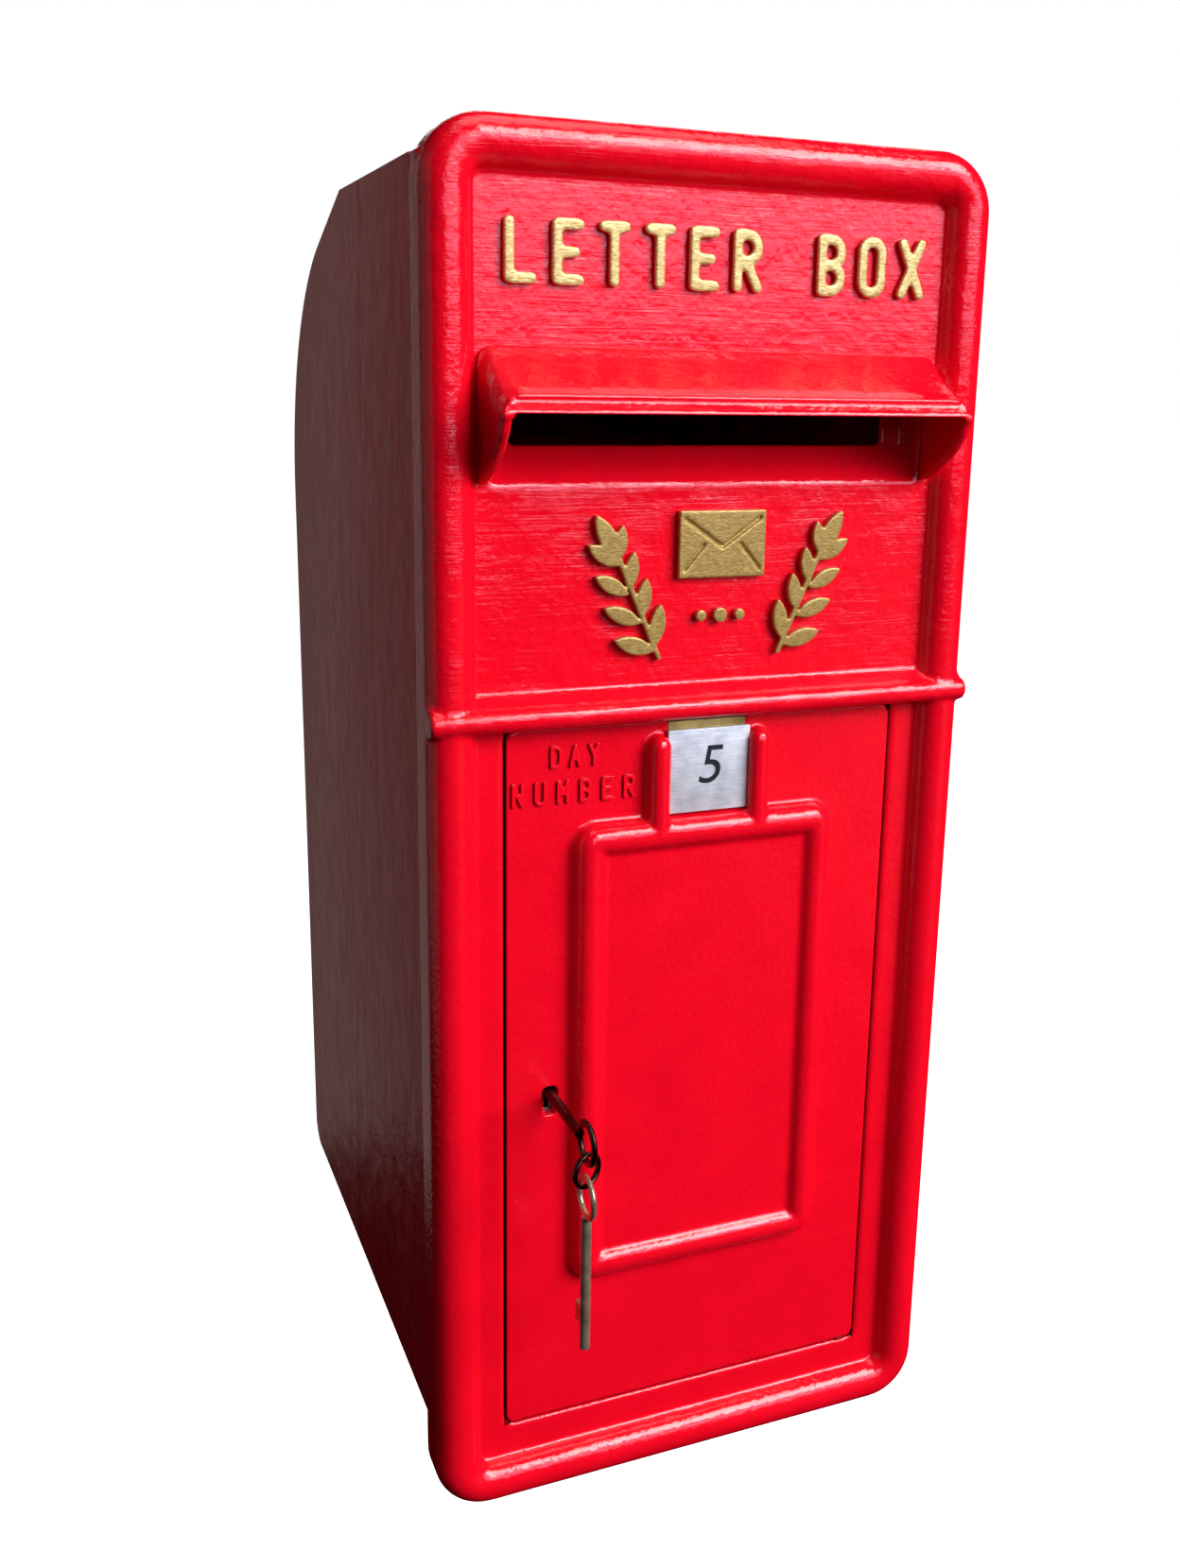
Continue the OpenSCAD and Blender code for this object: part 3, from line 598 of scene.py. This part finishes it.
def soften(piece: bpy.types.Object, grain: float, passes: int, keep: float = 1.0) -> bpy.types.Object:
    """Round every edge and corner as a thick coat of paint does.

    Args:
        piece: Object to change.
        grain: Size of the cells the skin is rebuilt from, in millimetres.
        passes: How many times the skin is relaxed.
        keep: Share of the triangles that stays.

    Returns:
        The same object.
    """
    apply_modifier(piece, "REMESH", mode="VOXEL", voxel_size=grain * MM)
    apply_modifier(piece, "SMOOTH", factor=0.5, iterations=passes)
    if keep < 1:
        apply_modifier(piece, "DECIMATE", ratio=keep)
    select_only(piece)
    bpy.ops.object.shade_smooth()
    return piece


def ease_edges(piece: bpy.types.Object, width: float, segments: int = 2) -> bpy.types.Object:
    """Break the sharp edges of a machined piece and shade its round faces smoothly.

    Args:
        piece: Object to change.
        width: Width of the eased edge in millimetres.
        segments: Steps across the eased edge.

    Returns:
        The same object.
    """
    select_only(piece)
    bpy.ops.object.mode_set(mode="EDIT")
    bpy.ops.mesh.select_all(action="SELECT")
    bpy.ops.mesh.dissolve_limited(angle_limit=FLAT_ANGLE)
    bpy.ops.object.mode_set(mode="OBJECT")
    apply_modifier(piece, "BEVEL", width=width * MM, segments=segments, limit_method="ANGLE",
                   angle_limit=EDGE_ANGLE, use_clamp_overlap=True, harden_normals=False)
    bpy.ops.object.shade_smooth_by_angle(angle=SMOOTH_ANGLE)
    return piece


def hand_over(piece: bpy.types.Object, body: Body, nodes: Sequence[str] = ()) -> None:
    """Put a finished piece on its body.

    Args:
        piece: Finished object.
        body: Body it rides on.
        nodes: Frame nodes it stands for.
    """
    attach(piece, body.value)
    if nodes:
        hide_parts(*nodes)
    LOG.info("%s on %s: %d faces", piece.name, body.value, len(piece.data.polygons))


# ---- the object ----


@dataclass
class FrontCasting:
    """The cast front: plate, rim bead, band, posting hood, lettering and emblem.

    Each skin has the grain of its cells and the number of times it is relaxed. Only edges over the
    cheek_top share of the hood's height are rounded.
    """

    paints: Paints
    plate_grain: float = 1.15
    plate_passes: int = 3
    plate_keep: float = 0.42
    hood_grain: float = 0.8
    hood_passes: int = 14
    letter_grain: float = 0.5
    letter_passes: int = 28
    emblem_grain: float = 0.42
    emblem_passes: int = 7
    cheek_round: float = 8.5
    cheek_steps: int = 4
    cheek_top: float = 0.57
    cheek_reach: float = 0.1

    def round_cheeks(self, hood: bpy.types.Object) -> bpy.types.Object:
        """Round the long edges where the hood's roof meets the outsides of its cheeks.

        Args:
            hood: The hood's copy.

        Returns:
            The same object.
        """
        low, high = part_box("slot_hood")
        select_only(hood)
        bpy.ops.object.mode_set(mode="EDIT")
        bpy.ops.mesh.select_all(action="SELECT")
        bpy.ops.mesh.dissolve_limited(angle_limit=FLAT_ANGLE)
        bpy.ops.mesh.select_all(action="DESELECT")
        bpy.ops.object.mode_set(mode="OBJECT")
        points = hood.data.vertices
        for edge in hood.data.edges:
            ends = [points[i].co for i in edge.vertices]
            outer = all(min(end.x - low.x, high.x - end.x) < self.cheek_reach * MM for end in ends)
            edge.select = outer and min(end.z for end in ends) > low.z + self.cheek_top * (high.z - low.z)
        bpy.ops.object.mode_set(mode="EDIT")
        bpy.ops.mesh.select_mode(type="EDGE")
        bpy.ops.mesh.bevel(offset=self.cheek_round * MM, segments=self.cheek_steps)
        bpy.ops.object.mode_set(mode="OBJECT")
        return hood

    def build(self) -> None:
        """Make the casting's four skins."""
        plate = copy_of("front_casting", "front_frame")
        soften(plate, self.plate_grain, self.plate_passes, keep=self.plate_keep)
        self.paints.dress(plate, "enamel")
        hand_over(plate, Body.BOX, ["front_frame"])
        hood = self.round_cheeks(copy_of("posting_hood", "slot_hood"))
        soften(hood, self.hood_grain, self.hood_passes)
        self.paints.dress(hood, "hood_enamel")
        hand_over(hood, Body.BOX, ["slot_hood"])
        letters = copy_of("raised_lettering", "header_letters")
        soften(letters, self.letter_grain, self.letter_passes)
        self.paints.dress(letters, "letter_gilt")
        hand_over(letters, Body.BOX, ["header_letters"])
        emblem = copy_of("raised_emblem", "emblem")
        soften(emblem, self.emblem_grain, self.emblem_passes)
        self.paints.dress(emblem, "emblem_gilt")
        hand_over(emblem, Body.BOX, ["emblem"])


@dataclass
class Casing:
    """The plate casing behind the front, its bolts, the letter chute and their screws."""

    paints: Paints
    edge: float = 1.6
    edge_steps: int = 3

    def build(self) -> None:
        """Make the casing's pieces."""
        shell = ease_edges(copy_of("plate_casing", "rear_casing"), self.edge, self.edge_steps)
        self.paints.dress(shell, "casing_enamel")
        hand_over(shell, Body.BOX, ["rear_casing"])
        for name, node, key, slot, edge in (
            ("slot_chute", "letter_chute", "zinc", Slot.ZINC, 0.4),
            ("casing_bolt_set", "casing_bolts", "zinc", Slot.ZINC, 0.3),
            ("hood_screw_set", "hood_screws", "zinc", Slot.ZINC, 0.2),
            ("chute_screw_set", "chute_screws", "zinc", Slot.ZINC, 0.2),
            ("keep_of_bolt", "bolt_keep", "zinc", Slot.ZINC, 0.25),
            ("keep_screw_set", "keep_screws", "zinc", Slot.ZINC, 0.15),
            ("hinge_pin_pair", "hinge_pins", "zinc", Slot.ZINC, 0.15),
            ("hinge_wear_washer", "hinge_washer", "brass", Slot.BRASS, 0.1),
        ):
            piece = ease_edges(copy_of(name, node), edge)
            self.paints.dress(piece, key)
            hand_over(piece, Body.BOX, [node])


@dataclass
class Door:
    """The cast door with its panel bead, cast words, tablet holder and day tablet.

    The figure's share and rise are shares of the tablet's height. Its capital_share is how much of the
    letter size a figure of this typeface fills.
    """

    paints: Paints
    grain: float = 1.0
    passes: int = 3
    keep: float = 0.6
    word_grain: float = 0.3
    word_passes: int = 2
    figure: str = "5"
    figure_share: float = 0.46
    figure_rise: float = 0.54
    figure_slant: float = 0.18
    figure_thick: float = 0.12
    capital_share: float = 0.7

    def build(self) -> None:
        """Make the door's pieces."""
        slab = soften(copy_of("cast_door", "door"), self.grain, self.passes, keep=self.keep)
        self.paints.dress(slab, "enamel")
        hand_over(slab, Body.DOOR, ["door"])
        words = soften(copy_of("cast_words", "door_letters"), self.word_grain, self.word_passes)
        self.paints.dress(words, "word_enamel_and_shade")
        hand_over(words, Body.DOOR, ["door_letters"])
        plate = ease_edges(copy_of("tablet_back_sheet", "tablet_backplate"), 0.2)
        self.paints.dress(plate, "brass")
        hand_over(plate, Body.DOOR, ["tablet_backplate"])
        tablet = ease_edges(copy_of("day_plate", "day_tablet"), 0.3, 3)
        self.paints.dress(tablet, "tablet_steel")
        hand_over(tablet, Body.TABLET, ["day_tablet"])
        self.build_figure()

    def build_figure(self) -> None:
        """Make the day number that is let into the tablet's face."""
        low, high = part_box("day_tablet")
        tall = high.z - low.z
        bpy.ops.object.select_all(action="DESELECT")
        bpy.ops.object.text_add(
            location=((low.x + high.x) / 2, low.y, low.z + self.figure_rise * tall),
            rotation=(math.radians(90), 0, 0))
        figure = bpy.context.object
        figure.name = "day_figure"
        text = figure.data
        text.body = self.figure
        text.align_x = "CENTER"
        text.align_y = "CENTER"
        text.size = self.figure_share * tall / self.capital_share
        text.shear = self.figure_slant
        text.extrude = self.figure_thick * MM / 2
        bpy.ops.object.convert(target="MESH")
        bpy.ops.object.transform_apply(location=True, rotation=True, scale=True)
        self.paints.dress(figure, "figure")
        hand_over(figure, Body.TABLET)


@dataclass
class Lock:
    """The lever lock behind the door."""

    paints: Paints

    def build(self) -> None:
        """Make the lock's pieces."""
        for name, node, body, key, slot, edge in (
            ("lock_body", "lock_case", Body.DOOR, "zinc", Slot.ZINC, 0.25),
            ("lock_cover", "lock_cap", Body.DOOR, "zinc", Slot.ZINC, 0.2),
            ("cover_screw_set", "cap_screws", Body.DOOR, "zinc", Slot.ZINC, 0.15),
            ("lock_screw_set", "lock_screws", Body.DOOR, "zinc", Slot.ZINC, 0.2),
            ("lever_pivot_post", "lever_pivot", Body.DOOR, "zinc", Slot.ZINC, 0.1),
            ("sliding_bolt", "lock_bolt", Body.BOLT, "brass", Slot.BRASS, 0.2),
            ("lever_pack", "lock_levers", Body.LEVERS, "brass", Slot.BRASS, 0.1),
            ("lever_spring_set", "lever_springs", Body.LEVERS, "spring", Slot.SPRING, 0.04),
        ):
            piece = ease_edges(copy_of(name, node), edge)
            self.paints.dress(piece, key)
            hand_over(piece, body, [node])


@dataclass
class Keys:
    """The key in the lock, the split ring through its bow, and the spare that hangs on the ring."""

    paints: Paints
    grain: float = 0.28

    def build(self) -> None:
        """Make the keys and the ring."""
        for name, node, body, key, slot, passes in (
            ("key_in_lock", "door_key", Body.KEY, "bronzed", Slot.BRONZED, 4),
            ("key_split_ring", "split_ring", Body.RING, "bronzed", Slot.BRONZED, 2),
            ("hanging_spare_key", "spare_key", Body.SPARE, "nickel", Slot.NICKEL, 4),
        ):
            piece = soften(copy_of(name, node), self.grain, passes)
            self.paints.dress(piece, key)
            hand_over(piece, body, [node])


# ---- the studio ----


@dataclass(frozen=True)
class Softbox:
    """One rectangular light, in metres and watts. One that isn't glossy never shows in a reflection."""

    name: str
    place: tuple[float, float, float]
    size: tuple[float, float]
    power: float
    aim: tuple[float, float, float] = (0.0, -0.2, 0.0)
    colour: str = "#FFFFFF"
    glossy: bool = True

    def build(self) -> None:
        """Hang the light."""
        light = bpy.data.lights.new(self.name, "AREA")
        light.shape = "RECTANGLE"
        light.size, light.size_y = self.size
        light.energy = self.power
        light.color = linear(self.colour)[:3]
        lamp = bpy.data.objects.new(self.name, light)
        bpy.context.scene.collection.objects.link(lamp)
        lamp.visible_glossy = self.glossy
        lamp.location = self.place
        lamp.rotation_euler = (Vector(self.aim) - lamp.location).to_track_quat("-Z", "Y").to_euler()


@dataclass
class Studio:
    """White floor and backdrop, soft lights from the right and above, dim cards elsewhere, and the camera.

    Places are in metres, the camera's turn in degrees, and its lens and sensor in millimetres.
    """

    floor_z: float = -0.9
    floor_half: float = 12.0
    lens: float = 33.477
    sensor: float = 36.0
    shift: tuple[float, float] = (-0.0176, -0.0373)
    camera_place: tuple[float, float, float] = (-0.26757, -0.83725, 0.24277)
    camera_turn: tuple[float, float, float] = (76.786, -0.944, -21.972)
    lights: Sequence[Softbox] = (
        Softbox("front_softbox", (1.4, -2.3, 2.0), (2.0, 1.2), 92),
        Softbox("front_fill", (2.1, -2.2, 1.0), (1.6, 1.2), 56, glossy=False),
        Softbox("sky_card", (0.8, -2.2, 0.9), (2.5, 1.1), 30, colour="#D8DAFF"),
        Softbox("overhead_softbox", (0.1, -0.45, 1.9), (1.5, 1.0), 9),
        Softbox("low_right_fill", (1.9, -2.2, -0.4), (1.6, 1.0), 10, glossy=False),
        Softbox("left_card", (-2.4, 0.3, 0.3), (3.0, 3.0), 6.5, aim=(0.0, 0.1, 0.0)),
        Softbox("rear_left_card", (-1.1, 2.4, -0.1), (1.9, 3.4), 4.0, colour="#FFF0EA"),
        Softbox("back_softbox", (0.9, 2.0, 1.4), (1.6, 1.2), 10),
    )

    def build(self) -> None:
        """Make floor, world, lights and camera."""
        self.build_floor()
        self.build_world()
        for light in self.lights:
            light.build()
        self.build_camera()

    def build_floor(self) -> None:
        """Lay the white floor, which only the camera sees, so that it throws no light up."""
        bpy.ops.object.select_all(action="DESELECT")
        bpy.ops.mesh.primitive_plane_add(size=2 * self.floor_half, location=(0, 0, self.floor_z))
        floor = bpy.context.object
        floor.name = "studio_floor"
        bpy.ops.object.transform_apply(location=True, rotation=True, scale=True)
        floor.data.materials.append(StudioPaper().build())
        floor.visible_diffuse = False
        floor.visible_glossy = False
        floor.visible_shadow = False

    def build_world(self) -> None:
        """Make the backdrop white for the camera, and leave the lighting to the softboxes."""
        scene = bpy.context.scene
        world = bpy.data.worlds.new("studio_backdrop")
        scene.world = world
        world.use_nodes = True
        world.node_tree.nodes.clear()
        backdrop = add_node(world.node_tree, "ShaderNodeBackground", inputs={
            "Color": linear("#FFFFFF"), "Strength": 1.0})
        add_node(world.node_tree, "ShaderNodeOutputWorld", inputs={"Surface": backdrop.outputs[0]})
        world.cycles_visibility.diffuse = False
        world.cycles_visibility.glossy = False
        scene.view_settings.view_transform = "Standard"

    def build_camera(self) -> None:
        """Stand the camera left of the middle, a little over it, looking down at the front."""
        lens = bpy.data.cameras.new("camera")
        lens.sensor_fit = "VERTICAL"
        lens.sensor_width = self.sensor
        lens.sensor_height = self.sensor
        lens.lens = self.lens
        lens.shift_x, lens.shift_y = self.shift
        lens.clip_start = 0.01
        camera = bpy.data.objects.new("camera", lens)
        bpy.context.scene.collection.objects.link(camera)
        camera.location = self.camera_place
        camera.rotation_euler = [math.radians(angle) for angle in self.camera_turn]
        bpy.context.scene.camera = camera


def door_outline(gap: float = 1.0) -> tuple[float, float, float, float]:
    """Find the middle line of the gap round the door.

    Args:
        gap: Width of the gap in millimetres.

    Returns:
        Its centre along x and z, and its half widths along x and z.
    """
    low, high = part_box("door")
    return ((low.x + high.x) / 2, (low.z + high.z) / 2,
            (high.x - low.x + gap * MM) / 2, (high.z - low.z + gap * MM) / 2)


def main() -> None:
    """Build the studio and the letter box."""
    logging.basicConfig(level=logging.INFO, format="%(message)s")
    Studio().build()
    paints = Paints(
        band_top=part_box("door")[1].z,
        letters_front=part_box("header_letters")[0].y,
        emblem_front=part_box("emblem")[0].y,
        words_front=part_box("door_letters")[0].y,
        seam=door_outline(),
    ).build()
    for assembly in (FrontCasting, Casing, Door, Lock, Keys):
        assembly(paints).build()


if __name__ == "__main__":
    main()
